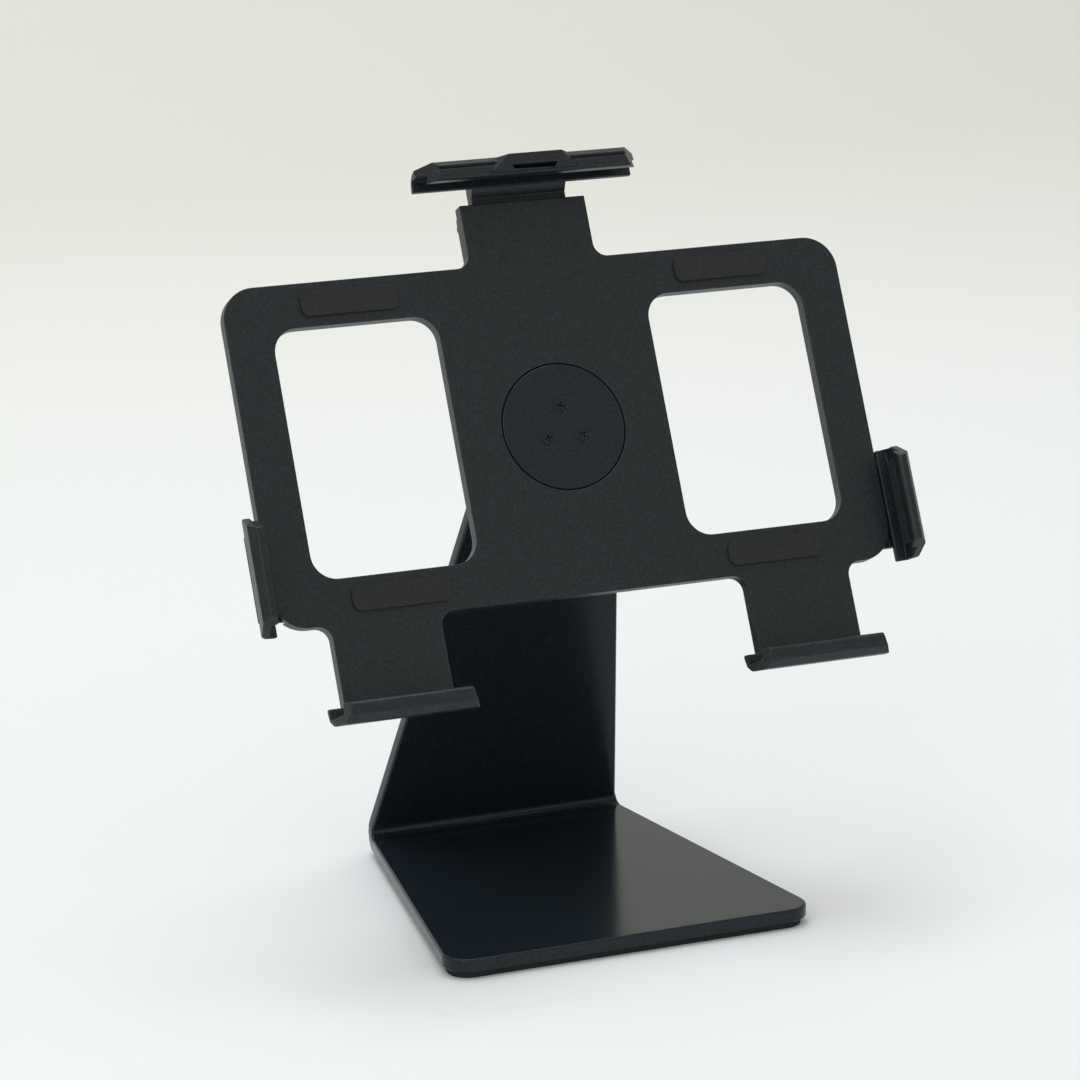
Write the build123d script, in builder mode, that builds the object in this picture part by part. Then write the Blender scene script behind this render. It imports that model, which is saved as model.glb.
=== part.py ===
from build123d import *
import os
from math import radians, sin, cos, tan

# Bent steel stand, all lengths in millimetres, angles in degrees
sheet_t = 5.0
base_pad_t = 2.5
base_pad_inset = 2.0
base_depth = 144.5
front_width = 141.6
side_taper = 0.1432
bend_inside_r = 3.0
lean = 23.8
base_corner_r = 9.5
upright_corner_r = 7.0

# Tilt hinge on the top of the upright
pivot_up = 178.8
pivot_behind = 3.8
upright_up = 172.0
knuckle_r = 5.75
pin_r = 3.0
hub_knuckle_w = 25.0
washer_t = 0.6
barrel_w = 14.0
leaf_t = 3.0
leaf_foot = 136.0
leaf_corner_r = 6.0
leaf_screw_x = 19.0
leaf_screw_up = (146.0, 161.0)
pin_head_r = 5.0
pin_head_t = 5.0
pin_chamfer = 0.6
pin_socket_r = 2.9
pin_end = 1.0
disc_spring_r = 5.2
disc_spring_t = 0.8
disc_spring_cone = 0.1
nut_r = 5.7
nut_t = 5.0

# Room for the flat device that is held, leaning back by held_tilt
held_w = 241.2
held_h = 185.7
held_tilt = 26.0
pivot_depth = 23.6

# Holder panel, with depths measured back from the front face of what it holds
pad_front = 8.8
panel_front = 9.8
panel_wall = 2.5
rib_h = 3.0
rib_t = 2.0
panel_half_w = 117.4
panel_half_h = 61.0
panel_corner_r = 12.0
window_in = 40.0
window_out = 101.0
window_half_h = 45.0
window_r = 9.0
tower_half_w = 24.0
tower_top = 84.0
arm_w = 40.0
inner_corner_r = 5.0
pad_w = 36.0
pad_h = 9.0
pad_x = 71.0
pad_z = 53.0
pad_corner_r = 3.0

# Grips around the edge, with outward sizes measured from the edge of what they hold
grip_front = 4.6
grip_gap = 0.2
fold_out = 2.2
fold_depth = -1.6
wall_out = 4.6
wall_in = 1.1
curl_depth = 4.4
curl_in = 2.9
curl_r = 6.9
curl_t = 2.2
curl_start = 80
lip_edge_r = 1.8
front_edge_r = 0.8
outer_edge_r = 1.2
inside_r = 1.2
foot_out = 3.0
foot_bend_r = 5.9
foot_depth = 8.0
foot_root = 1.5
grip_foot_t = 2.5
grip_foot_len = 16.0
grip_screw_in = 9.6
end_overlap = 2.9
side_overlap = 0.95
bottom_grip_x = 78.1
bottom_lip = 44.6
bottom_wall = 52.4
bottom_flare = 8
bottom_foot_w = 35.0
bottom_screw_x = 10.0
arm_in = 1.0
side_grip_z = -42.3
side_lip = 31.2
side_wall = 41.4
side_flare = 0
side_foot_w = 30.0
side_screw_z = 9.0
top_grip_x = 1.3
top_lip = 73.2
top_wall = 83.8
top_flare = -12
liner_t = 1.0
liner_front = 0.4
liner_back = 7.8

# Groove along the top grip, and its finger pull, which leans forward and narrows to its top
groove_low = 0.9
groove_high = 2.0
groove_t = 0.8
pull_x = 1.6
pull_low = -2.0
pull_high = 3.9
pull_front = 7.4
pull_half_w = 9.9
pull_root_half_w = 16.5
pull_low_half_w = 16.4
pull_low_root_half_w = 20.6
slot_low = -1.9
slot_high = 0.2
slot_low_half_w = 7.4
slot_half_w = 8.6
slot_floor = 0.9

# Swivel between hub and panel
spigot_r = 12.0
disc_r = 27.0
disc_t = 3.0
disc_chamfer = 0.8
cap_r = 23.0
cap_t = 1.5
cap_chamfer = 0.4
cap_screw_ring = 7.5
cap_screw_len = 8.0
web_t = 2.3
boss_r = 30.0
stop_pin_r = 2.0
stop_ring_r = 18.5
stop_angle = -45
swivel_range = 90
wear_ring_in = 22.0
wear_ring_out = 26.0
wear_ring_depth = 1.0
neck_half = 9.0
neck_angle = 101.5
running = 0.05

# Sliding clamp at the top, with its compression spring and cover
sliding = 0.3
tongue_half_w = 14.7
tongue_t = 4.5
tongue_foot = 39.0
channel_foot = 36.0
channel_rib_t = 2.4
neck_half_w = 18.0
neck_gap = 0.6
spring_slot_half_w = 4.0
spring_foot = 43.0
post_foot = 76.4
post_h = 3.0
post_half_w = 3.4
spring_r = 1.8
spring_wire_r = 0.35
spring_turns = 6
spring_wire_sides = 4
cover_half_w = 23.0
cover_t = 2.0
cover_corner_r = 4.0
cover_chamfer = 0.6
cover_boss_r = 3.2
cover_screw_x = 20.0
cover_screw_z = (42.0, 78.0)
cover_screw_bite = 4.0

# Screws, whose hidden shanks have few sides
shank_sides = 12
m3_r = 1.5
m3_head_r = 2.75
m3_head_t = 1.6
m4_r = 2.0
m4_head_r = 3.8
m4_head_t = 2.2
m4_head_chamfer = 0.7
m4_socket_r = 1.45
screw_bite = 2.0
screw_end_gap = 0.2
leaf_screw_end_gap = 0.5


# Positions of the stand, worked out from the sizes above
sheet_top = base_pad_t + sheet_t
tangent = bend_inside_r / tan(radians((90 - lean) / 2))
bend_mid_r = bend_inside_r + sheet_t / 2
front_y = -base_depth / 2
bend_centre_y = base_depth / 2 - bend_inside_r - sheet_t
bend_centre_z = sheet_top + bend_inside_r
bend_start_w = front_width - 2 * side_taper * (bend_centre_y - front_y)
bend_end_w = bend_start_w - 2 * side_taper * radians(90 + lean) * bend_mid_r
top_width = bend_end_w - 2 * side_taper * (upright_up - tangent)
upright = Plane(
    origin=(0, bend_centre_y + tangent, sheet_top),
    x_dir=(1, 0, 0),
    z_dir=(0, -cos(radians(lean)), -sin(radians(lean))),
)
pivot = upright.from_local_coords(Vector(0, pivot_up, -pivot_behind))
leaf_spots = [(side * leaf_screw_x, screw_up) for side in (-1, 1) for screw_up in leaf_screw_up]
barrel_start = hub_knuckle_w / 2 + washer_t + 2 * running
barrel_end = barrel_start + barrel_w
leaf_w = 2 * barrel_end
disc_springs_t = 2 * (disc_spring_t + disc_spring_cone)

# Directions and depths of the holder
across = Vector(1, 0, 0)
back = Vector(0, cos(radians(held_tilt)), -sin(radians(held_tilt)))
up = Vector(0, sin(radians(held_tilt)), cos(radians(held_tilt)))
centre = pivot - back * pivot_depth
panel_back = panel_front + panel_wall
grip_foot_back = panel_back + grip_foot_t
cap_back = panel_front + running + cap_t
web_front = cap_back + running
web_back = web_front + web_t
disc_front = web_back + 2 * running
disc_back = disc_front + disc_t
tongue_front = panel_back + sliding
tongue_back = tongue_front + tongue_t
cover_front = tongue_back + sliding
cover_back = cover_front + cover_t
half_w = held_w / 2
half_h = held_h / 2
curl_inside = curl_depth + curl_r - curl_t


def holder(depth):
    """Plane parallel to the panel, facing forwards, this far behind the front of what is held."""
    return Plane(origin=centre + back * depth, x_dir=across, z_dir=back * -1)


def hinge_plane(x):
    """Plane square to the hinge pin, with its origin on the pin's axis."""
    return Plane(origin=pivot + across * x, x_dir=back, z_dir=across)


def section_plane(outward, edge_point):
    """Plane of a grip's cross-section: depth along its x, outwards along its y."""
    return Plane(origin=edge_point, x_dir=back, z_dir=back.cross(outward))


# Stand: one laser-cut trapezoid of steel sheet with a single bend
with BuildPart() as stand_plate:
    with BuildSketch(Plane.XY.offset(base_pad_t)) as base_blank:
        Polygon(
            (-front_width / 2, front_y),
            (front_width / 2, front_y),
            (bend_start_w / 2, bend_centre_y),
            (-bend_start_w / 2, bend_centre_y),
            align=None,
        )
        fillet(base_blank.vertices().group_by(Axis.Y)[0], base_corner_r)
    extrude(amount=sheet_t)
    with BuildSketch(upright) as upright_blank:
        Polygon(
            (-bend_end_w / 2, tangent),
            (bend_end_w / 2, tangent),
            (top_width / 2, upright_up),
            (-top_width / 2, upright_up),
            align=None,
        )
        fillet(upright_blank.vertices().group_by(Axis.Y)[-1], upright_corner_r)
    extrude(amount=-sheet_t)
    with BuildLine(Plane.YZ) as bend_line:
        CenterArc((bend_centre_y, bend_centre_z), bend_mid_r, -90, 90 + lean)
    with BuildSketch(Plane(origin=bend_line.line @ 0, x_dir=(1, 0, 0), z_dir=bend_line.line % 0)):
        Rectangle(bend_start_w, sheet_t)
    with BuildSketch(Plane(origin=bend_line.line @ 1, x_dir=(1, 0, 0), z_dir=bend_line.line % 1)):
        Rectangle(bend_end_w, sheet_t)
    sweep(multisection=True)
    with BuildSketch(upright):
        with Locations(*leaf_spots):
            Circle(m4_r + running)
    extrude(amount=-sheet_t, mode=Mode.SUBTRACT)

# Rubber pad stuck under the whole base, a little inside its outline
with BuildPart() as base_pad:
    with BuildSketch(Plane.XY):
        offset(base_blank.sketch_local, amount=-base_pad_inset)
    extrude(amount=base_pad_t)

# Hinge leaf: steel strip on the back of the upright, rolled into two barrels round the pin
with BuildPart() as hinge_leaf:
    with BuildSketch(upright.offset(-sheet_t)) as leaf_outline:
        with Locations((0, (leaf_foot + pivot_up) / 2)):
            Rectangle(leaf_w, pivot_up - leaf_foot)
        fillet(leaf_outline.vertices().group_by(Axis.Y)[0], leaf_corner_r)
        with Locations((0, pivot_up)):
            Rectangle(2 * barrel_start, 2 * (knuckle_r + leaf_t), mode=Mode.SUBTRACT)
        with Locations(*leaf_spots):
            Circle(m4_r + running, mode=Mode.SUBTRACT)
    extrude(amount=-leaf_t)
    for barrel_x in (barrel_start, -barrel_end):
        with BuildSketch(hinge_plane(barrel_x)):
            Circle(knuckle_r)
        extrude(amount=barrel_w)
    with BuildSketch(hinge_plane(-barrel_end)):
        Circle(pin_r + running)
    extrude(amount=2 * barrel_end, mode=Mode.SUBTRACT)

# Button-head screws that hold the leaf, tapped into the upright
with BuildPart() as leaf_screws:
    with BuildSketch(upright.offset(-sheet_t - leaf_t)):
        with Locations(*leaf_spots):
            Circle(m4_head_r)
    extrude(amount=-m4_head_t)
    head_rims = leaf_screws.edges().filter_by(GeomType.CIRCLE).sort_by(Axis(pivot, upright.z_dir))
    chamfer(head_rims[:len(leaf_spots)], m4_head_chamfer)
    with BuildSketch(upright.offset(-sheet_t - leaf_t - m4_head_t)):
        with Locations(*leaf_spots):
            RegularPolygon(m4_socket_r, 6)
    extrude(amount=m4_head_t / 2, mode=Mode.SUBTRACT)
    with BuildSketch(upright.offset(-sheet_t - leaf_t)):
        with Locations(*leaf_spots):
            RegularPolygon(m4_r, shank_sides)
    extrude(amount=leaf_t + sheet_t - leaf_screw_end_gap)

# Hinge pin: socket-head bolt through the barrels and the hub's knuckle
with BuildPart() as hinge_pin:
    with BuildSketch(hinge_plane(-barrel_end - disc_springs_t - nut_t - pin_end)):
        Circle(pin_r)
    extrude(amount=2 * barrel_end + disc_springs_t + nut_t + pin_end)
    with BuildSketch(hinge_plane(barrel_end)):
        Circle(pin_head_r)
    extrude(amount=pin_head_t)
    chamfer(hinge_pin.edges().filter_by(GeomType.CIRCLE).group_by(Axis.X)[-1], pin_chamfer)
    with BuildSketch(hinge_plane(barrel_end + pin_head_t)):
        RegularPolygon(pin_socket_r, 6)
    extrude(amount=-pin_head_t / 2, mode=Mode.SUBTRACT)

# Lock nut on the far end of the pin
with BuildPart() as hinge_nut:
    with BuildSketch(hinge_plane(-barrel_end - disc_springs_t)):
        RegularPolygon(nut_r, 6)
        Circle(pin_r + running, mode=Mode.SUBTRACT)
    extrude(amount=-nut_t)

# Pair of coned disc springs under the nut, which set the friction of the tilt
with BuildPart() as disc_springs:
    bore_r = pin_r + running
    middle_x = -barrel_end - disc_springs_t / 2
    with BuildSketch(Plane(origin=pivot, x_dir=across, z_dir=across.cross(up))):
        for side in (-1, 1):
            inner_x = middle_x + side * (disc_spring_cone + running)
            outer_x = middle_x + side * running
            Polygon(
                (inner_x, bore_r),
                (outer_x, disc_spring_r),
                (outer_x + side * (disc_spring_t - running), disc_spring_r),
                (inner_x + side * (disc_spring_t - running), bore_r),
                align=None,
            )
    revolve(axis=Axis(pivot, across))

# Nylon washers between the barrels and the hub's knuckle
with BuildPart() as knuckle_washers:
    for washer_x in (-hub_knuckle_w / 2 - running - washer_t, hub_knuckle_w / 2 + running):
        with BuildSketch(hinge_plane(washer_x)):
            Circle(knuckle_r)
            Circle(pin_r + running, mode=Mode.SUBTRACT)
        extrude(amount=washer_t)

# Cast hub: knuckle round the pin, disc behind the panel and spigot through it
with BuildPart() as swivel_hub:
    with BuildSketch(holder(disc_back)):
        Circle(disc_r)
    extrude(amount=disc_t)
    chamfer(swivel_hub.edges().filter_by(GeomType.CIRCLE).sort_by_distance(pivot)[0], disc_chamfer)
    with BuildSketch(hinge_plane(-hub_knuckle_w / 2)):
        Circle(knuckle_r)
        Polygon(
            (disc_back - pivot_depth, neck_half),
            (disc_back - pivot_depth, -neck_half),
            (knuckle_r * cos(radians(neck_angle)), -knuckle_r * sin(radians(neck_angle))),
            (knuckle_r * cos(radians(neck_angle)), knuckle_r * sin(radians(neck_angle))),
            align=None,
        )
    extrude(amount=hub_knuckle_w)
    with BuildSketch(holder(disc_front)):
        Circle(spigot_r)
    extrude(amount=disc_front - cap_back)
    with BuildSketch(holder(disc_front)):
        Circle(wear_ring_out + running)
        Circle(wear_ring_in - running, mode=Mode.SUBTRACT)
    extrude(amount=-wear_ring_depth, mode=Mode.SUBTRACT)
    with BuildSketch(holder(disc_front)):
        with PolarLocations(stop_ring_r, 1, start_angle=stop_angle):
            Circle(stop_pin_r + running)
    extrude(amount=-disc_t / 2, mode=Mode.SUBTRACT)
    with BuildSketch(holder(cap_back)):
        with PolarLocations(cap_screw_ring, 3, start_angle=90):
            Circle(m3_r + running)
    extrude(amount=-cap_screw_len, mode=Mode.SUBTRACT)
    with BuildSketch(hinge_plane(-hub_knuckle_w / 2)):
        Circle(pin_r + running)
    extrude(amount=hub_knuckle_w, mode=Mode.SUBTRACT)

# Nylon ring let into the disc, which the panel turns on
with BuildPart() as wear_ring:
    with BuildSketch(holder(disc_front + wear_ring_depth)):
        Circle(wear_ring_out)
        Circle(wear_ring_in, mode=Mode.SUBTRACT)
    extrude(amount=wear_ring_depth + running)

# Steel pin in the disc that stops the swivel at the ends of a curved slot
with BuildPart() as stop_pin:
    with BuildSketch(holder(disc_front + disc_t / 2)):
        with PolarLocations(stop_ring_r, 1, start_angle=stop_angle):
            Circle(stop_pin_r)
    extrude(amount=disc_t / 2 + web_t)

# Steel cap screwed on the spigot from the front, which keeps the panel on the hub
with BuildPart() as swivel_cap:
    with BuildSketch(holder(cap_back)):
        Circle(cap_r)
        with PolarLocations(cap_screw_ring, 3, start_angle=90):
            Circle(m3_r + running, mode=Mode.SUBTRACT)
    extrude(amount=cap_t)
    cap_rims = swivel_cap.edges().filter_by(GeomType.CIRCLE).group_by(SortBy.RADIUS)[-1]
    chamfer(cap_rims.sort_by(Axis.Y)[0], cap_chamfer)
    for screw in PolarLocations(cap_screw_ring, 3, start_angle=90):
        with Locations(holder(panel_front + running).location * screw):
            Cone(
                m3_r + running,
                m3_head_r + running,
                cap_t - running,
                align=(Align.CENTER, Align.CENTER, Align.MAX),
                mode=Mode.SUBTRACT,
            )

# Countersunk screws of the cap
with BuildPart() as cap_screws:
    for screw in PolarLocations(cap_screw_ring, 3, start_angle=90):
        with Locations(holder(panel_front + running).location * screw):
            Cone(m3_r, m3_head_r, cap_t - running, align=(Align.CENTER, Align.CENTER, Align.MAX))
            Cylinder(m3_r, cap_screw_len, align=(Align.CENTER, Align.CENTER, Align.MAX))

# Moulded panel: ribbed frame with two windows, arms, a hub boss with its stop slot and a clamp channel
arm_foot = half_h - arm_in
grip_screw_spots = [
    (side * (bottom_grip_x + along), grip_screw_in - half_h)
    for side in (-1, 1)
    for along in (-bottom_screw_x, bottom_screw_x)
] + [
    (side * (half_w - grip_screw_in), side_grip_z + along)
    for side in (-1, 1)
    for along in (-side_screw_z, side_screw_z)
]
cover_spots = [(side * cover_screw_x, screw_z) for side in (-1, 1) for screw_z in cover_screw_z]
with BuildPart() as back_panel:
    with BuildSketch(holder(panel_back)) as panel_outline:
        RectangleRounded(2 * panel_half_w, 2 * panel_half_h, panel_corner_r)
        with Locations((-bottom_grip_x, -arm_foot / 2), (bottom_grip_x, -arm_foot / 2)):
            Rectangle(arm_w, arm_foot)
        with Locations((0, tower_top / 2)):
            Rectangle(2 * tower_half_w, tower_top)
        rim_corners = [v for v in panel_outline.vertices() if abs(abs(v.Y) - panel_half_h) < running]
        notches = [v for v in rim_corners if abs(v.X) < panel_half_w - panel_corner_r - inner_corner_r]
        fillet(notches, inner_corner_r)
        window_x = (window_in + window_out) / 2
        with Locations((-window_x, 0), (window_x, 0)):
            RectangleRounded(window_out - window_in, 2 * window_half_h, window_r, mode=Mode.SUBTRACT)
    extrude(amount=panel_wall)
    with BuildSketch(holder(panel_back)):
        add(panel_outline.sketch_local)
        offset(panel_outline.sketch_local, amount=-rib_t, mode=Mode.SUBTRACT)
    extrude(amount=-rib_h)
    with BuildSketch(holder(panel_back)):
        for side in (-1, 1):
            with Locations((side * half_w, side_grip_z)):
                Rectangle(2 * (grip_foot_len + sliding), side_foot_w + 2 * sliding)
            with Locations((side * bottom_grip_x, -half_h)):
                Rectangle(bottom_foot_w + 2 * sliding, 2 * (grip_foot_len + sliding))
        with Locations((0, tower_top)):
            Rectangle(2 * (tongue_half_w + sliding), 3 * rib_t)
    extrude(amount=-rib_h, mode=Mode.SUBTRACT)
    with BuildSketch(holder(panel_back)):
        Circle(boss_r)
    extrude(amount=panel_back - web_back)
    with BuildSketch(holder(panel_back)):
        for side in (-1, 1):
            channel_rib_x = side * (tongue_half_w + sliding + channel_rib_t / 2)
            with Locations((channel_rib_x, (channel_foot + tower_top) / 2)):
                Rectangle(channel_rib_t, tower_top - channel_foot)
        with Locations(*cover_spots):
            Circle(cover_boss_r)
    extrude(amount=panel_back - cover_front)
    with BuildSketch(holder(panel_back)):
        with Locations((0, post_foot + post_h / 2)):
            Rectangle(2 * post_half_w, post_h)
    extrude(amount=panel_back - tongue_back)
    with BuildSketch(holder(panel_front)):
        Circle(cap_r + sliding)
    extrude(amount=panel_front - web_front, mode=Mode.SUBTRACT)
    with BuildSketch(holder(web_front)):
        Circle(spigot_r + running)
        SlotArc(
            Edge.make_circle(stop_ring_r, start_angle=stop_angle - swivel_range, end_angle=stop_angle),
            2 * (stop_pin_r + 2 * running),
        )
    extrude(amount=-web_t, mode=Mode.SUBTRACT)
    with BuildSketch(holder(panel_back)):
        with Locations(*grip_screw_spots):
            Circle(m3_r + running)
    extrude(amount=screw_bite, mode=Mode.SUBTRACT)
    with BuildSketch(holder(cover_front)):
        with Locations(*cover_spots):
            Circle(m3_r + running)
    extrude(amount=cover_front - panel_back, mode=Mode.SUBTRACT)

# Foam-rubber pads on the panel's front
with BuildPart() as support_pads:
    with BuildSketch(holder(panel_front)):
        with GridLocations(2 * pad_x, 2 * pad_z, 2, 2):
            RectangleRounded(pad_w, pad_h, pad_corner_r)
    extrude(amount=panel_front - pad_front)


def grip_rim(plane, overlap, lip_len, wall_len, flare):
    """Lip over the front edge, the wall outside it and the curl behind, with slanted ends."""
    with BuildPart() as rim:
        with BuildSketch(plane) as hook:
            with BuildLine():
                curl = CenterArc((curl_depth, -curl_in), curl_r, 0, curl_start)
                Polyline(
                    curl @ 1,
                    (fold_depth, wall_out),
                    (-grip_front, fold_out),
                    (-grip_front, -overlap),
                    (-grip_gap, -overlap),
                    (-grip_gap, wall_in),
                    (curl_inside, wall_in),
                    (curl_inside, -curl_in),
                    curl @ 0,
                )
            make_face()
            corners = hook.vertices()
            fillet(corners.sort_by_distance((-grip_front, -overlap))[0], lip_edge_r)
            fillet(corners.sort_by_distance((-grip_front, fold_out))[0], front_edge_r)
            fillet(corners.sort_by_distance((fold_depth, wall_out))[0], outer_edge_r)
            fillet(corners.sort_by_distance((curl_inside, wall_in))[0], inside_r)
        extrude(amount=wall_len / 2, both=True)
        rim_h = curl_in + wall_out
        widening = tan(radians(flare)) * rim_h
        slope = ((wall_len - lip_len) / 2 - widening) / (curl_depth + grip_front)
        narrow = lip_len / 2 - slope * grip_foot_len
        wide = lip_len / 2 + slope * 2 * grip_foot_len
        with BuildSketch(Plane(plane.origin - plane.y_dir * curl_in, x_dir=plane.z_dir, z_dir=plane.y_dir)):
            with Locations((0, -grip_front)):
                Polygon(
                    (-narrow, -grip_foot_len),
                    (narrow, -grip_foot_len),
                    (wide, 2 * grip_foot_len),
                    (-wide, 2 * grip_foot_len),
                    align=None,
                )
        extrude(amount=rim_h, taper=-flare, mode=Mode.INTERSECT)
    return rim.part


def fixed_grip(outward, edge_point, overlap, lip_len, wall_len, flare, foot_w, edge_in):
    """Grip with a foot that seats on the panel's edge and takes two screws from behind."""
    plane = section_plane(outward, edge_point)
    seat = sliding - edge_in
    with BuildPart() as grip:
        add(grip_rim(plane, overlap, lip_len, wall_len, flare))
        with BuildSketch(plane):
            with Locations((curl_inside, seat)):
                Rectangle(panel_back - curl_inside, grip_foot_len, align=(Align.MIN, Align.MAX))
        extrude(amount=arm_w / 2 + sliding, both=True, mode=Mode.SUBTRACT)
        with BuildSketch(plane):
            with BuildLine():
                bend = CenterArc((grip_foot_back - foot_bend_r, foot_out - foot_bend_r), foot_bend_r, 0, 90)
                Polyline(
                    bend @ 1,
                    (foot_depth, foot_out),
                    (foot_depth, wall_in),
                    (foot_depth + foot_root, wall_in),
                    (foot_depth + foot_root, seat),
                    (panel_back, seat),
                    (panel_back, -grip_foot_len),
                    (grip_foot_back, -grip_foot_len),
                    bend @ 0,
                )
            make_face()
        extrude(amount=foot_w / 2, both=True)
        with BuildSketch(holder(grip_foot_back)):
            with Locations(*grip_screw_spots):
                Circle(m3_r + running)
        extrude(amount=grip_foot_t, mode=Mode.SUBTRACT)
    return grip


def edge_liner(outward, edge_point, length):
    """Rubber strip on the inside of a grip's wall, against the edge of what is held."""
    with BuildPart() as liner:
        with BuildSketch(section_plane(outward, edge_point)):
            with Locations((liner_front, wall_in)):
                Rectangle(liner_back - liner_front, liner_t, align=(Align.MIN, Align.MAX))
        extrude(amount=length / 2, both=True)
    return liner


# Grips fixed to the panel: two under the bottom edge and one on each side
bottom_left_edge = centre - across * bottom_grip_x - up * half_h
bottom_right_edge = centre + across * bottom_grip_x - up * half_h
left_edge = centre - across * half_w + up * side_grip_z
right_edge = centre + across * half_w + up * side_grip_z
top_edge = centre + up * half_h
bottom_sizes = (end_overlap, bottom_lip, bottom_wall, bottom_flare, bottom_foot_w, arm_in)
side_sizes = (side_overlap, side_lip, side_wall, side_flare, side_foot_w, half_w - panel_half_w)
bottom_grip_left = fixed_grip(up * -1, bottom_left_edge, *bottom_sizes)
bottom_grip_right = fixed_grip(up * -1, bottom_right_edge, *bottom_sizes)
side_grip_left = fixed_grip(across * -1, left_edge, *side_sizes)
side_grip_right = fixed_grip(across, right_edge, *side_sizes)
bottom_liner_left = edge_liner(up * -1, bottom_left_edge, bottom_lip)
bottom_liner_right = edge_liner(up * -1, bottom_right_edge, bottom_lip)
side_liner_left = edge_liner(across * -1, left_edge, side_lip)
side_liner_right = edge_liner(across, right_edge, side_lip)
top_liner = edge_liner(up, top_edge + across * top_grip_x, top_lip)

# Pan-head screws through the grips' feet
with BuildPart() as grip_screws:
    with BuildSketch(holder(grip_foot_back)):
        with Locations(*grip_screw_spots):
            Circle(m3_head_r)
    extrude(amount=-m3_head_t)
    with BuildSketch(holder(grip_foot_back)):
        with Locations(*grip_screw_spots):
            RegularPolygon(m3_r, shank_sides)
    extrude(amount=grip_foot_t + screw_bite - screw_end_gap)

# Cover that closes the channel of the sliding clamp
with BuildPart() as slide_cover:
    with BuildSketch(holder(cover_back)) as cover_outline:
        with Locations((0, (channel_foot + tower_top) / 2)):
            RectangleRounded(2 * cover_half_w, tower_top - channel_foot, cover_corner_r)
        with Locations(*cover_spots):
            Circle(m3_r + running, mode=Mode.SUBTRACT)
    extrude(amount=cover_t)
    chamfer(slide_cover.faces().sort_by(Axis(centre, back))[-1].outer_wire().edges(), cover_chamfer)

# Pan-head screws of the cover
with BuildPart() as cover_screws:
    with BuildSketch(holder(cover_back)):
        with Locations(*cover_spots):
            Circle(m3_head_r)
    extrude(amount=-m3_head_t)
    with BuildSketch(holder(cover_back)):
        with Locations(*cover_spots):
            RegularPolygon(m3_r, shank_sides)
    extrude(amount=cover_t + cover_screw_bite)

# Top grip: lip and wall, finger pull with its slot, and the tongue that slides in the channel
with BuildPart() as top_grip:
    top_plane = section_plane(up, top_edge)
    top_rim_plane = section_plane(up, top_edge + across * top_grip_x)
    add(grip_rim(top_rim_plane, end_overlap, top_lip, top_wall, top_flare))
    with BuildSketch(top_plane):
        Polygon(
            (-grip_front, groove_low),
            (-grip_front + groove_t, groove_low + groove_t / 2),
            (-grip_front + groove_t, groove_high),
            (-grip_front, groove_high),
            align=None,
        )
    extrude(amount=top_wall / 2, both=True, mode=Mode.SUBTRACT)
    with BuildSketch(top_plane):
        with BuildLine():
            bend = CenterArc((tongue_back - foot_bend_r, foot_out - foot_bend_r), foot_bend_r, 0, 90)
            Polyline(
                bend @ 1,
                (foot_depth, foot_out),
                (foot_depth, wall_in),
                (foot_depth + foot_root, wall_in),
                (foot_depth + foot_root, -curl_in),
                (tongue_front, -curl_in - tongue_front + foot_depth + foot_root),
                (tongue_front, tower_top + neck_gap - half_h),
                (tongue_back, tower_top + neck_gap - half_h),
                bend @ 0,
            )
        make_face()
    extrude(amount=neck_half_w, both=True)
    with BuildSketch(holder(tongue_back)):
        with Locations((0, (tongue_foot + tower_top + neck_gap) / 2)):
            Rectangle(2 * tongue_half_w, tower_top + neck_gap - tongue_foot)
        with Locations((0, (spring_foot + post_foot + post_h + sliding) / 2)):
            Rectangle(2 * spring_slot_half_w, post_foot + post_h + sliding - spring_foot, mode=Mode.SUBTRACT)
    extrude(amount=tongue_t)
    for level, front, front_half_w, root_half_w in (
        (pull_low, -grip_front, pull_low_half_w, pull_low_root_half_w),
        (pull_high, -pull_front, pull_half_w, pull_root_half_w),
    ):
        with BuildSketch(Plane(top_edge + across * pull_x + up * level, x_dir=across, z_dir=up)):
            Polygon(
                (-front_half_w, front),
                (front_half_w, front),
                (root_half_w, -slot_floor),
                (-root_half_w, -slot_floor),
                align=None,
            )
    loft(ruled=True)
    with BuildSketch(holder(-pull_front)):
        with Locations((pull_x, half_h)):
            Polygon(
                (-slot_low_half_w, slot_low),
                (slot_low_half_w, slot_low),
                (slot_half_w, slot_high),
                (-slot_half_w, slot_high),
                align=None,
            )
    extrude(amount=slot_floor - pull_front, mode=Mode.SUBTRACT)

# Compression spring in the tongue's slot, pushing the grip down from the panel's post
with BuildPart() as clamp_spring:
    spring_len = post_foot - spring_foot - 2 * running - 2 * spring_wire_r
    spring_depth = (tongue_front + tongue_back) / 2
    spring_start = centre + back * spring_depth + up * (spring_foot + running + spring_wire_r)
    with BuildLine() as coil:
        Helix(spring_len / spring_turns, spring_len, spring_r, center=spring_start, direction=up)
    with BuildSketch(Plane(origin=coil.line @ 0, z_dir=coil.line % 0)):
        RegularPolygon(spring_wire_r, spring_wire_sides)
    sweep(is_frenet=True)

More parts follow.
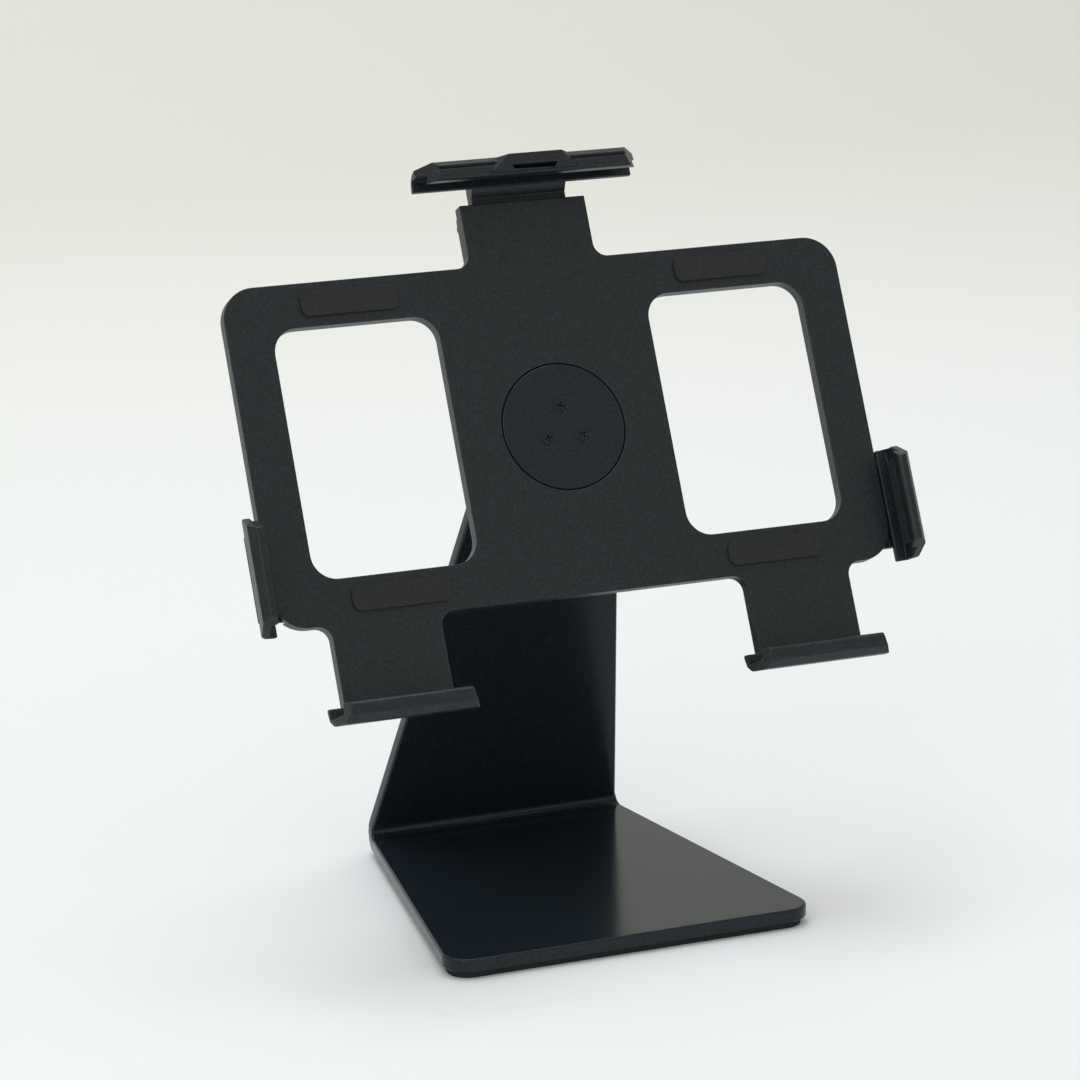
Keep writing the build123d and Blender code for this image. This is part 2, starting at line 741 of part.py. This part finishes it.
pieces = {
    "stand_plate": stand_plate,
    "base_pad": base_pad,
    "hinge_leaf": hinge_leaf,
    "leaf_screws": leaf_screws,
    "hinge_pin": hinge_pin,
    "hinge_nut": hinge_nut,
    "disc_springs": disc_springs,
    "knuckle_washers": knuckle_washers,
    "swivel_hub": swivel_hub,
    "wear_ring": wear_ring,
    "stop_pin": stop_pin,
    "swivel_cap": swivel_cap,
    "cap_screws": cap_screws,
    "back_panel": back_panel,
    "support_pads": support_pads,
    "bottom_grip_left": bottom_grip_left,
    "bottom_grip_right": bottom_grip_right,
    "side_grip_left": side_grip_left,
    "side_grip_right": side_grip_right,
    "bottom_liner_left": bottom_liner_left,
    "bottom_liner_right": bottom_liner_right,
    "side_liner_left": side_liner_left,
    "side_liner_right": side_liner_right,
    "grip_screws": grip_screws,
    "slide_cover": slide_cover,
    "cover_screws": cover_screws,
    "clamp_spring": clamp_spring,
    "top_grip": top_grip,
    "top_liner": top_liner,
}
os.makedirs("parts", exist_ok=True)
for piece_name, piece in pieces.items():
    piece.part.label = piece_name
    export_step(piece.part, f"parts/{piece_name}.step")
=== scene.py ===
from math import cos, radians, sin

import bmesh
import bpy
from mathutils import Matrix, Vector


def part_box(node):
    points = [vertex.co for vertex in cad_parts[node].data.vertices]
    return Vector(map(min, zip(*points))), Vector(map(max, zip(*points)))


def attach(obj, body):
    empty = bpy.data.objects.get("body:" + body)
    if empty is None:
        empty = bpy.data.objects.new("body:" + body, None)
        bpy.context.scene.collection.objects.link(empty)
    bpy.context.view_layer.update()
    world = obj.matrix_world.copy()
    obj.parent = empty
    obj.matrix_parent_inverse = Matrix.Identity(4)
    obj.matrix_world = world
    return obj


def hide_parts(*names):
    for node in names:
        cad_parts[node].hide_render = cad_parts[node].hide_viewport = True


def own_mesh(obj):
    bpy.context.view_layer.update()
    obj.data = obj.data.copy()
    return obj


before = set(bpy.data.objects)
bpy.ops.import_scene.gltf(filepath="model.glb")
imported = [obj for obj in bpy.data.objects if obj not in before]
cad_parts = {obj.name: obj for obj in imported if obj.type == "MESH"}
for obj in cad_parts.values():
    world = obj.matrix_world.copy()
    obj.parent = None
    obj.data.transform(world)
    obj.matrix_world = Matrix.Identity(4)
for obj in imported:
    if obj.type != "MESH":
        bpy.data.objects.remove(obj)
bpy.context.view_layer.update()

scene = bpy.context.scene
scene.view_settings.view_transform = "Standard"

# Camera: low and from the left of the stand, far enough off for a long lens.
# Its place and turn were worked out from the stand's own edges in the 1080 by 1080 photograph.
camera_place = Vector((-0.50367, -1.29143, 0.49062))
camera_yaw = radians(21.10)
camera_down = radians(14.42)
camera_roll = radians(-1.20)
photo_side_px = 1080
focal_px = 3968.8
camera_data = bpy.data.cameras.new("camera")
camera_data.sensor_fit = "HORIZONTAL"
camera_data.sensor_width = 36.0
camera_data.lens = camera_data.sensor_width * focal_px / photo_side_px
camera = bpy.data.objects.new("camera", camera_data)
camera.matrix_world = (
    Matrix.Translation(camera_place)
    @ Matrix.Rotation(-camera_yaw, 4, "Z")
    @ Matrix.Rotation(radians(90) - camera_down, 4, "X")
    @ Matrix.Rotation(camera_roll, 4, "Z")
)
scene.collection.objects.link(camera)
scene.camera = camera


# Studio sweep: matt white paper, which runs level under the stand and curves up behind it.
# It is the pale background, and it takes the stand's soft shadow.
def linear(hex_colour):
    """An sRGB hex colour as linear red, green, blue and alpha."""
    parts = [int(hex_colour[i:i + 2], 16) / 255 for i in (1, 3, 5)]
    return [p / 12.92 if p <= 0.04045 else ((p + 0.055) / 1.055) ** 2.4 for p in parts] + [1.0]


def add_node(tree, kind, inputs=None, **settings):
    """Adds a shader node, sets its values and links the sockets that are given as inputs."""
    node = tree.nodes.new(kind)
    for name, value in settings.items():
        setattr(node, name, value)
    for name, value in (inputs or {}).items():
        if isinstance(value, bpy.types.NodeSocket):
            tree.links.new(value, node.inputs[name])
        else:
            node.inputs[name].default_value = value
    return node


def of_kind(kind, geom):
    """The corners, edges or faces among some new geometry."""
    return [g for g in geom if isinstance(g, kind)]


sweep_half_side = 16.0
sweep_back_y = 1.6
sweep_radius = 0.8
sweep_curl_steps = 24
sweep_wall = 3.0
sweep_mesh = bmesh.new()
bmesh.ops.create_grid(sweep_mesh, x_segments=1, y_segments=1, size=sweep_half_side)
back_edge = [e for e in sweep_mesh.edges if all(v.co.y > 0 for v in e.verts)]
for vert in {v for e in back_edge for v in e.verts}:
    vert.co.y = sweep_back_y
curl = bmesh.ops.spin(
    sweep_mesh, geom=back_edge, cent=(0, sweep_back_y, sweep_radius), axis=(1, 0, 0),
    angle=radians(90), steps=sweep_curl_steps,
)
risen = bmesh.ops.extrude_edge_only(sweep_mesh, edges=of_kind(bmesh.types.BMEdge, curl["geom_last"]))
bmesh.ops.translate(sweep_mesh, vec=(0, 0, sweep_wall), verts=of_kind(bmesh.types.BMVert, risen["geom"]))
for face in sweep_mesh.faces:
    face.smooth = True

sweep_data = bpy.data.meshes.new("studio_sweep")
sweep_mesh.to_mesh(sweep_data)
sweep_mesh.free()
studio_sweep = bpy.data.objects.new("studio_sweep", sweep_data)
scene.collection.objects.link(studio_sweep)

# Matt coated paper: cool white under the stand and a little warmer towards the back, with hardly any
# sheen.
warmer_from_y = 0.1
warmer_to_y = 1.5
sweep_paper = bpy.data.materials.new("matt_white_paper")
sweep_paper.use_nodes = True
tree = sweep_paper.node_tree
paper_shader = tree.nodes["Principled BSDF"]
place = add_node(tree, "ShaderNodeTexCoord").outputs["Object"]
back = add_node(tree, "ShaderNodeSeparateXYZ", {"Vector": place}).outputs["Y"]
warmth = add_node(tree, "ShaderNodeMapRange", {
    "Value": back, "From Min": warmer_from_y, "From Max": warmer_to_y,
})
tint = add_node(tree, "ShaderNodeMix", {"Factor": warmth.outputs["Result"]}, data_type="RGBA")
tint.inputs["A"].default_value = linear("#F0F2F3")
tint.inputs["B"].default_value = linear("#F5F4EE")
tree.links.new(tint.outputs["Result"], paper_shader.inputs["Base Color"])
paper_shader.inputs["Roughness"].default_value = 0.9
paper_shader.inputs["Specular IOR Level"].default_value = 0.2
sweep_data.materials.append(sweep_paper)


# Light: a big, slightly cool soft box overhead and a little behind, and a weaker one from the left.
# With the white room round them, they light a surface at about the level at which its colour is written.
def soft_box(name, place, target, size, watts, colour):
    """Square area lamp at a place, aimed at a target."""
    lamp_data = bpy.data.lights.new(name, "AREA")
    lamp_data.size = size
    lamp_data.energy = watts
    lamp_data.color = linear(colour)[:3]
    lamp = bpy.data.objects.new(name, lamp_data)
    aim = (Vector(target) - Vector(place)).to_track_quat("-Z", "Y")
    lamp.matrix_world = Matrix.Translation(place) @ aim.to_matrix().to_4x4()
    scene.collection.objects.link(lamp)


stand_middle = (0, 0, 0.1)
soft_box("key_soft_box", (-0.1, 0.35, 2.2), stand_middle, size=1.5, watts=24, colour="#EEF6FF")
soft_box("fill_soft_box", (-1.2, -1.4, 1.5), stand_middle, size=1.4, watts=7, colour="#FFFFFF")
room = bpy.data.worlds.new("white_room")
room.use_nodes = True
room_light = room.node_tree.nodes["Background"]
room_light.inputs["Strength"].default_value = 0.6
room_light.inputs["Color"].default_value = linear("#FFFEF8")
scene.world = room


# Stand: 5 mm steel sheet, laser-cut and bent once, with powder coat baked on.
# The cut edges are broken before coating, so they catch a thin soft highlight.
merge_gap = 1e-6
flat_within = radians(1)
sharp_from = radians(35)
eased_edge_segments = 3
large_face_weight = 100


def new_material(name):
    """A material with nodes, its tree, its shader and its object-space coordinates."""
    material = bpy.data.materials.new(name)
    material.use_nodes = True
    tree = material.node_tree
    place = add_node(tree, "ShaderNodeTexCoord").outputs["Object"]
    return material, tree, tree.nodes["Principled BSDF"], place


def ridden(mesh, name, body, material):
    """An object from a finished mesh, which rides on a body and takes one material."""
    for face in mesh.faces:
        face.smooth = True
    data = bpy.data.meshes.new(name)
    mesh.to_mesh(data)
    mesh.free()
    piece = bpy.data.objects.new(name, data)
    scene.collection.objects.link(piece)
    data.materials.append(material)
    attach(piece, body)
    return piece


def merged_copy(node):
    """A copy of a solid's mesh with its triangles joined and its flat faces whole."""
    mesh = bmesh.new()
    mesh.from_mesh(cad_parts[node].data)
    bmesh.ops.remove_doubles(mesh, verts=mesh.verts, dist=merge_gap)
    bmesh.ops.dissolve_limit(mesh, angle_limit=flat_within, verts=mesh.verts, edges=mesh.edges)
    return mesh


def rounded(piece, width, segments):
    """Rounds the piece's sharp edges."""
    rounding = piece.modifiers.new("rounded_edges", "BEVEL")
    rounding.width = width
    rounding.segments = segments
    rounding.limit_method = "ANGLE"
    rounding.angle_limit = sharp_from
    rounding.use_clamp_overlap = False


def eased(node, body, material, edge, mesh=None):
    """A copy of a solid that stands for it, with its sharp edges rounded to a width in metres."""
    piece = ridden(mesh or merged_copy(node), node + "_finished", body, material)
    rounded(piece, edge, eased_edge_segments)
    flatness = piece.modifiers.new("flat_faces_stay_flat", "WEIGHTED_NORMAL")
    flatness.weight = large_face_weight
    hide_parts(node)


# Polyester powder coat, satin black: a fine orange peel about 1.4 mm across, which softens reflections,
# and a very fine speckle, drawn at 0.7 mm so that it shows.
peel_mm = 1.4
speckle_mm = 0.7
powder_coat, tree, shader, place = new_material("powder_coat_satin_black")
peel = add_node(tree, "ShaderNodeTexNoise", {"Vector": place, "Scale": 1000 / peel_mm, "Detail": 2.0})
speckle = add_node(tree, "ShaderNodeTexNoise", {
    "Vector": place, "Scale": 1000 / speckle_mm, "Detail": 1.0,
})
grains = add_node(tree, "ShaderNodeMapRange", {
    "Value": speckle.outputs["Fac"], "From Min": 0.35, "From Max": 0.65,
})
tint = add_node(tree, "ShaderNodeMix", {"Factor": grains.outputs["Result"]}, data_type="RGBA")
tint.inputs["A"].default_value = linear("#141B21")
tint.inputs["B"].default_value = linear("#1E262C")
gloss = add_node(tree, "ShaderNodeMapRange", {
    "Value": peel.outputs["Fac"], "From Min": 0.3, "From Max": 0.7, "To Min": 0.16, "To Max": 0.19,
})
bump = add_node(tree, "ShaderNodeBump", {
    "Height": peel.outputs["Fac"], "Strength": 0.07, "Distance": 0.00003,
})
shader.inputs["Specular IOR Level"].default_value = 0.27
tree.links.new(tint.outputs["Result"], shader.inputs["Base Color"])
tree.links.new(gloss.outputs["Result"], shader.inputs["Roughness"])
tree.links.new(bump.outputs["Normal"], shader.inputs["Normal"])
eased("stand_plate", "stand", powder_coat, edge=0.0009)

# Base pad: 2.5 mm sheet of black rubber stuck under the whole base, die-cut a little inside its outline.
# It is dull, with a fine grain and a faint cloudy bloom, and its cut edge is square.
rubber_grain_mm = 0.4
rubber_bloom_mm = 9.0
sheet_rubber, tree, shader, place = new_material("black_sheet_rubber")
grain = add_node(tree, "ShaderNodeTexNoise", {
    "Vector": place, "Scale": 1000 / rubber_grain_mm, "Detail": 3.0,
})
bloom = add_node(tree, "ShaderNodeTexNoise", {
    "Vector": place, "Scale": 1000 / rubber_bloom_mm, "Detail": 2.0,
})
tint = add_node(tree, "ShaderNodeMix", {"Factor": bloom.outputs["Fac"]}, data_type="RGBA")
tint.inputs["A"].default_value = linear("#121416")
tint.inputs["B"].default_value = linear("#1F2124")
bump = add_node(tree, "ShaderNodeBump", {
    "Height": grain.outputs["Fac"], "Strength": 0.4, "Distance": 0.00004,
})
tree.links.new(tint.outputs["Result"], shader.inputs["Base Color"])
tree.links.new(bump.outputs["Normal"], shader.inputs["Normal"])
shader.inputs["Roughness"].default_value = 0.82
eased("base_pad", "stand", sheet_rubber, edge=0.0002)

# Hinge leaf: 3 mm steel strip on the back of the upright, rolled into two barrels round the pin.
# It is coated like the stand, after bending.
eased("hinge_leaf", "stand", powder_coat, edge=0.0004)


# Leaf screws: four M4 button-head screws with hexagon sockets, tapped into the upright.
# Their heads are forged round and the sockets broached, and each screw stops at a turn of its own.
screw_sides = 24
screw_edge = 0.00008
screw_edge_segments = 2
top_within = 1e-5
screw_merge_gap = 1e-7
first_turn = 0.6
turn_to_next = 1.1
recess_taper = 0.94
cross_arm_half = 0.268
least_part = 1e-6


def screw_tops(node, outwards):
    """Middle of the top of each screw in a node, found from the loose pieces of its merged mesh."""
    mesh = merged_copy(node)
    tops, met = [], set()
    for first in mesh.verts:
        if first in met:
            continue
        met.add(first)
        screw = [first]
        for vert in screw:
            fresh = [v for v in (e.other_vert(vert) for e in vert.link_edges) if v not in met]
            met.update(fresh)
            screw += fresh
        high = max(v.co.dot(outwards) for v in screw)
        rim = [v.co.copy() for v in screw if v.co.dot(outwards) > high - top_within]
        tops.append(sum(rim, Vector()) / len(rim))
    mesh.free()
    return tops


def hexagon(across_flats):
    """Distance to a hexagon's outline at an angle."""
    return lambda angle: across_flats / 2 / cos((angle + radians(30)) % radians(60) - radians(30))


def cross(length):
    """Distance to the outline of a cross recess at an angle, from the length of its arms."""
    def reach(angle):
        along, aside = max(abs(cos(angle)), least_part), max(abs(sin(angle)), least_part)
        half = length * cross_arm_half
        return max(min(length / along, half / aside), min(length / aside, half / along))
    return reach


def driven_screw(mesh, top, outwards, profile, recess, depth, turn):
    """A screw from tip to top, by its profile's radii and heights, then the driver's recess."""
    place = Matrix.Translation(top) @ outwards.to_track_quat("Z", "Y").to_matrix().to_4x4()
    place = place @ Matrix.Rotation(turn, 4, "Z")
    radius, height = profile[0]
    ring = bmesh.ops.create_circle(
        mesh, segments=screw_sides, radius=radius, cap_ends=True,
        matrix=place @ Matrix.Translation((0, 0, height)),
    )["verts"]
    edges = list(dict.fromkeys(e for v in ring for e in v.link_edges))

    def step(edges, move):
        geom = bmesh.ops.extrude_edge_only(mesh, edges=edges)["geom"]
        for vert in of_kind(bmesh.types.BMVert, geom):
            here = place.inverted() @ vert.co
            vert.co = place @ move(here)
        return of_kind(bmesh.types.BMEdge, geom)

    for next_radius, next_height in profile[1:]:
        edges = step(edges, lambda p: Vector((*(p.xy.normalized() * next_radius), next_height)))
    across = Vector((1, 0))
    edges = step(edges, lambda p: Vector((
        *(p.xy.normalized() * recess(p.xy.angle_signed(across))), p.z,
    )))
    edges = step(edges, lambda p: Vector((p.x * recess_taper, p.y * recess_taper, p.z - depth)))
    bmesh.ops.contextual_create(mesh, geom=edges)


def screws(node, body, outwards, profile, recess, depth, material):
    """All the screws of a node in one piece, which stands for them."""
    mesh = bmesh.new()
    for count, top in enumerate(screw_tops(node, outwards)):
        turn = first_turn + turn_to_next * count
        driven_screw(mesh, top, outwards, profile, recess, depth, turn)
    bmesh.ops.remove_doubles(mesh, verts=mesh.verts, dist=screw_merge_gap)
    bmesh.ops.recalc_face_normals(mesh, faces=mesh.faces)
    piece = ridden(mesh, node + "_finished", body, material)
    rounded(piece, screw_edge, screw_edge_segments)
    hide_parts(node)


# Black oxide on steel: near-black, with a dull metallic sheen that varies with handling.
oxide_mm = 1.2
black_oxide, tree, shader, place = new_material("black_oxide_on_steel")
handling = add_node(tree, "ShaderNodeTexNoise", {
    "Vector": place, "Scale": 1000 / oxide_mm, "Detail": 3.0,
})
tint = add_node(tree, "ShaderNodeMix", {"Factor": handling.outputs["Fac"]}, data_type="RGBA")
tint.inputs["A"].default_value = linear("#202326")
tint.inputs["B"].default_value = linear("#35393D")
gloss = add_node(tree, "ShaderNodeMapRange", {
    "Value": handling.outputs["Fac"], "To Min": 0.26, "To Max": 0.46,
})
tree.links.new(tint.outputs["Result"], shader.inputs["Base Color"])
tree.links.new(gloss.outputs["Result"], shader.inputs["Roughness"])
shader.inputs["Metallic"].default_value = 0.8
upright_lean = radians(23.8)
upright_back = Vector((0, cos(upright_lean), sin(upright_lean)))
button_profile = [
    (0.0018, -0.0097), (0.0020, -0.0095), (0.0020, -0.0022), (0.0038, -0.0022),
    (0.0038, -0.0019), (0.0036, -0.0012), (0.0031, -0.0005), (0.0025, -0.0001), (0.0021, 0.0),
]
screws("leaf_screws", "stand", upright_back, button_profile, hexagon(across_flats=0.0025),
       depth=0.0012, material=black_oxide)

# Hinge pin and disc springs: a socket-head bolt through the barrels, and coned springs under its nut.
# Bright zinc plate on steel: pale and slightly blue, with faint clouding from the bath.
cloud_mm = 2.5
zinc_plate, tree, shader, place = new_material("bright_zinc_plate")
cloud = add_node(tree, "ShaderNodeTexNoise", {"Vector": place, "Scale": 1000 / cloud_mm, "Detail": 4.0})
tint = add_node(tree, "ShaderNodeMix", {"Factor": cloud.outputs["Fac"]}, data_type="RGBA")
tint.inputs["A"].default_value = linear("#B4B9BE")
tint.inputs["B"].default_value = linear("#D3D4D3")
gloss = add_node(tree, "ShaderNodeMapRange", {
    "Value": cloud.outputs["Fac"], "To Min": 0.22, "To Max": 0.4,
})
tree.links.new(tint.outputs["Result"], shader.inputs["Base Color"])
tree.links.new(gloss.outputs["Result"], shader.inputs["Roughness"])
shader.inputs["Metallic"].default_value = 1.0
eased("hinge_pin", "stand", zinc_plate, edge=0.0002)
eased("disc_springs", "stand", zinc_plate, edge=0.0001)

# Hinge nut: M6 lock nut on the pin's left end, whose turning sets how stiff the tilt is.
# Its outer corners are turned off at 30 degrees, as on any hexagon nut.
nut_face_r = 0.00495
nut_corner_from_r = 1.1 * nut_face_r
nut_slope = radians(30)
cut_gap = 1e-7
in_end_face = 1e-5
nut_mesh = merged_copy("hinge_nut")
nut_low, nut_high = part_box("hinge_nut")
nut_end = Vector((nut_low.x, (nut_low.y + nut_high.y) / 2, (nut_low.z + nut_high.z) / 2))
corners = [v.co - nut_end for v in nut_mesh.verts if (v.co - nut_end).length > nut_corner_from_r]
for corner in [c.normalized() for c in corners if abs(c.x) < in_end_face]:
    cut = bmesh.ops.bisect_plane(
        nut_mesh, geom=nut_mesh.verts[:] + nut_mesh.edges[:] + nut_mesh.faces[:], dist=cut_gap,
        plane_co=nut_end + corner * nut_face_r,
        plane_no=corner * sin(nut_slope) - Vector((cos(nut_slope), 0, 0)), clear_outer=True,
    )["geom_cut"]
    bmesh.ops.contextual_create(nut_mesh, geom=of_kind(bmesh.types.BMEdge, cut))
bmesh.ops.recalc_face_normals(nut_mesh, faces=nut_mesh.faces)
eased("hinge_nut", "stand", zinc_plate, edge=0.0002, mesh=nut_mesh)

# Knuckle washers: two moulded nylon rings that keep the coated barrels off the hub's knuckle.
# Natural nylon is a waxy off-white that lets a little light in.
nylon_mm = 3.0
natural_nylon, tree, shader, place = new_material("moulded_natural_nylon")
flow = add_node(tree, "ShaderNodeTexNoise", {"Vector": place, "Scale": 1000 / nylon_mm, "Detail": 2.0})
tint = add_node(tree, "ShaderNodeMix", {"Factor": flow.outputs["Fac"]}, data_type="RGBA")
tint.inputs["A"].default_value = linear("#D8D4C8")
tint.inputs["B"].default_value = linear("#E6E3DA")
tree.links.new(tint.outputs["Result"], shader.inputs["Base Color"])
shader.inputs["Roughness"].default_value = 0.42
shader.inputs["Subsurface Weight"].default_value = 0.15
shader.inputs["Subsurface Scale"].default_value = 0.001
eased("knuckle_washers", "stand", natural_nylon, edge=0.0001)

# Swivel hub: cast in one with its knuckle and spigot, blasted and powder-coated.
# The coat is thicker in the casting's corners, so its edges are rounder than the sheet's.
eased("swivel_hub", "hub", powder_coat, edge=0.0005)

# Wear ring and stop pin: nylon ring let into the hub's disc, and the steel pin that stops the swivel.
# Both lie inside, between the disc and the panel.
for node, material in (("wear_ring", natural_nylon), ("stop_pin", zinc_plate)):
    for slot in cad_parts[node].material_slots:
        slot.material = material

# Swivel cap: 1.5 mm steel disc on the spigot, which keeps the panel on the hub.
# Three countersunk screws with cross recesses hold it from the front.
holder_lean = radians(26)
backward = Vector((0, cos(holder_lean), -sin(holder_lean)))
upward = Vector((0, sin(holder_lean), cos(holder_lean)))
eased("swivel_cap", "hub", powder_coat, edge=0.0003)
countersunk_profile = [
    (0.0013, -0.0094), (0.0015, -0.0092), (0.0015, -0.0014), (0.0026, -0.0001), (0.00245, 0.0),
]
screws("cap_screws", "hub", -backward, countersunk_profile, cross(length=0.0014),
       depth=0.0010, material=black_oxide)

# Back panel: frame with two windows, ribs round its rim, and arms for the grips.
# It is injection-moulded in one piece, with a small radius on its edges.

# Black ABS from a spark-eroded mould: a fine even texture that spreads highlights, with painted shade
# darkening its pits.
# The texture is about 0.1 mm in life, and is drawn at 0.9 mm so that it shows.
texture_mm = 0.9
patch_mm = 14.0
moulded_abs, tree, shader, place = new_material("moulded_abs_fine_texture")
texture = add_node(tree, "ShaderNodeTexNoise", {
    "Vector": place, "Scale": 1000 / texture_mm, "Detail": 2.0,
})
patch = add_node(tree, "ShaderNodeTexNoise", {"Vector": place, "Scale": 1000 / patch_mm, "Detail": 3.0})
pit_shade = add_node(tree, "ShaderNodeMapRange", {
    "Value": texture.outputs["Fac"], "From Min": 0.35, "From Max": 0.65,
})
# The colour is darker where the texture's bump sinks: painted shade in the pits.
tint = add_node(tree, "ShaderNodeMix", {"Factor": pit_shade.outputs["Result"]}, data_type="RGBA")
tint.inputs["A"].default_value = linear("#101518")
tint.inputs["B"].default_value = linear("#1F262A")
shader.inputs["Specular IOR Level"].default_value = 0.38
gloss = add_node(tree, "ShaderNodeMapRange", {
    "Value": patch.outputs["Fac"], "To Min": 0.34, "To Max": 0.44,
})
bump = add_node(tree, "ShaderNodeBump", {
    "Height": texture.outputs["Fac"], "Strength": 0.6, "Distance": 0.00015,
})
tree.links.new(tint.outputs["Result"], shader.inputs["Base Color"])
tree.links.new(gloss.outputs["Result"], shader.inputs["Roughness"])
tree.links.new(bump.outputs["Normal"], shader.inputs["Normal"])
eased("back_panel", "holder", moulded_abs, edge=0.0004)

# Support pads: four strips of thin foam rubber on the panel's front, which the device lies against.
# They are dull and a little paler than the sheet rubber, with fine open pores whose middles carry
# painted shade.
pore_mm = 0.6
foam_rubber, tree, shader, place = new_material("fine_foam_rubber")
pores_and_shade = add_node(tree, "ShaderNodeTexVoronoi", {"Vector": place, "Scale": 1000 / pore_mm})
# The colour is darker at each pore's middle, where the bump sinks: painted shade in the pores.
tint = add_node(tree, "ShaderNodeMix", {"Factor": pores_and_shade.outputs["Distance"]}, data_type="RGBA")
tint.inputs["A"].default_value = linear("#161617")
tint.inputs["B"].default_value = linear("#2A2A2B")
bump = add_node(tree, "ShaderNodeBump", {
    "Height": pores_and_shade.outputs["Distance"], "Strength": 0.5, "Distance": 0.00006,
})
tree.links.new(tint.outputs["Result"], shader.inputs["Base Color"])
tree.links.new(bump.outputs["Normal"], shader.inputs["Normal"])
shader.inputs["Roughness"].default_value = 0.9
eased("support_pads", "holder", foam_rubber, edge=0.0003)

# Fixed grips: two under the bottom edge and one on each side, each a curled lip on a foot.
# Moulded like the panel, with rounded lips and slanted ends, and screwed to it from behind.
for node in ("bottom_grip_left", "bottom_grip_right", "side_grip_left", "side_grip_right"):
    eased(node, "holder", moulded_abs, edge=0.0005)

# Liners: strips of rubber in the grips, which bear on the device's edge.
# Cut from the same sheet rubber as the base pad.
for node in ("bottom_liner_left", "bottom_liner_right", "side_liner_left", "side_liner_right"):
    eased(node, "holder", sheet_rubber, edge=0.0002)

# Grip screws: eight M3 pan-head screws through the grips' feet, with cross recesses.
# Black oxide on steel, cut into the moulded panel.
def pan_profile(length):
    """Outline of an M3 pan-head screw with a shank of this length."""
    return [
        (0.0013, -0.0016 - length), (0.0015, -0.0014 - length), (0.0015, -0.0016), (0.00275, -0.0016),
        (0.00275, -0.0009), (0.00262, -0.00045), (0.0023, -0.00015), (0.0018, 0.0),
    ]


screws("grip_screws", "holder", backward, pan_profile(length=0.0043), cross(length=0.0014),
       depth=0.0009, material=black_oxide)

# Slide cover: moulded plate that closes the clamp's channel, with four pan-head screws.
# The same ABS as the panel, with a chamfered rim.
eased("slide_cover", "holder", moulded_abs, edge=0.0002)
screws("cover_screws", "holder", backward, pan_profile(length=0.006), cross(length=0.0014),
       depth=0.0009, material=black_oxide)

# Clamp spring: music wire wound round a mandrel, with closed ends, in the slot of the clamp's tongue.
# It shortens by 12 mm as the clamp is pulled up against the panel's post.
wire_r = 0.00035
wire_sides = 10
coil_r = 0.0018
coil_length = 0.0326
end_pitch = 0.00075
active_turns = 8
steps_a_turn = 20
spring_low, spring_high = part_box("clamp_spring")
spring_middle = (spring_low + spring_high) / 2
coil_start = spring_middle - upward * coil_length / 2
coil_mesh = bmesh.new()
wire_place = (
    Matrix.Translation(coil_start + Vector((coil_r, 0, 0)))
    @ backward.to_track_quat("Z", "Y").to_matrix().to_4x4()
)
wire = bmesh.ops.create_circle(
    coil_mesh, segments=wire_sides, radius=wire_r, cap_ends=True, matrix=wire_place
)["verts"]
tip = wire[0].link_faces[:]
inside_faces = []
open_pitch = (coil_length - 2 * end_pitch) / active_turns
for turns, pitch in ((1, end_pitch), (active_turns, open_pitch), (1, end_pitch)):
    spun = bmesh.ops.spin(
        coil_mesh, geom=tip, cent=coil_start, axis=upward, angle=radians(360 * turns),
        dvec=upward * pitch / steps_a_turn, steps=steps_a_turn * turns,
    )
    bmesh.ops.delete(coil_mesh, geom=inside_faces, context="FACES_ONLY")
    inside_faces = tip = of_kind(bmesh.types.BMFace, spun["geom_last"])
bmesh.ops.recalc_face_normals(coil_mesh, faces=coil_mesh.faces)
clamp_spring = ridden(coil_mesh, "clamp_spring_coil", "holder", zinc_plate)
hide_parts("clamp_spring")
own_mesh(clamp_spring)

# Top grip: lip, wall and finger pull moulded in one with the tongue that slides in the panel's channel.
# The pull has a slot down to the lip, and a fine groove runs along the lip on each side of it.
# The slot's low edge is lifted by 0.4 mm, so that its rounding stays clear of the groove's.
swivel_middle = Vector((0, -0.0210366, 0.1829738))
held_half_height = 0.09285
slot_half_width = 0.0095
slot_front = 0.0008
slot_low = -0.0019
slot_low_within = 0.00003
slot_lift = 0.0004
top_mesh = merged_copy("top_grip")
top_edge = swivel_middle + upward * held_half_height
for vert in top_mesh.verts:
    off = vert.co - top_edge
    in_slot = abs(off.x) < slot_half_width and off.dot(backward) < -slot_front
    if in_slot and abs(off.dot(upward) - slot_low) < slot_low_within:
        vert.co += upward * slot_lift
eased("top_grip", "clamp", moulded_abs, edge=0.0003, mesh=top_mesh)
eased("top_liner", "clamp", sheet_rubber, edge=0.0002)
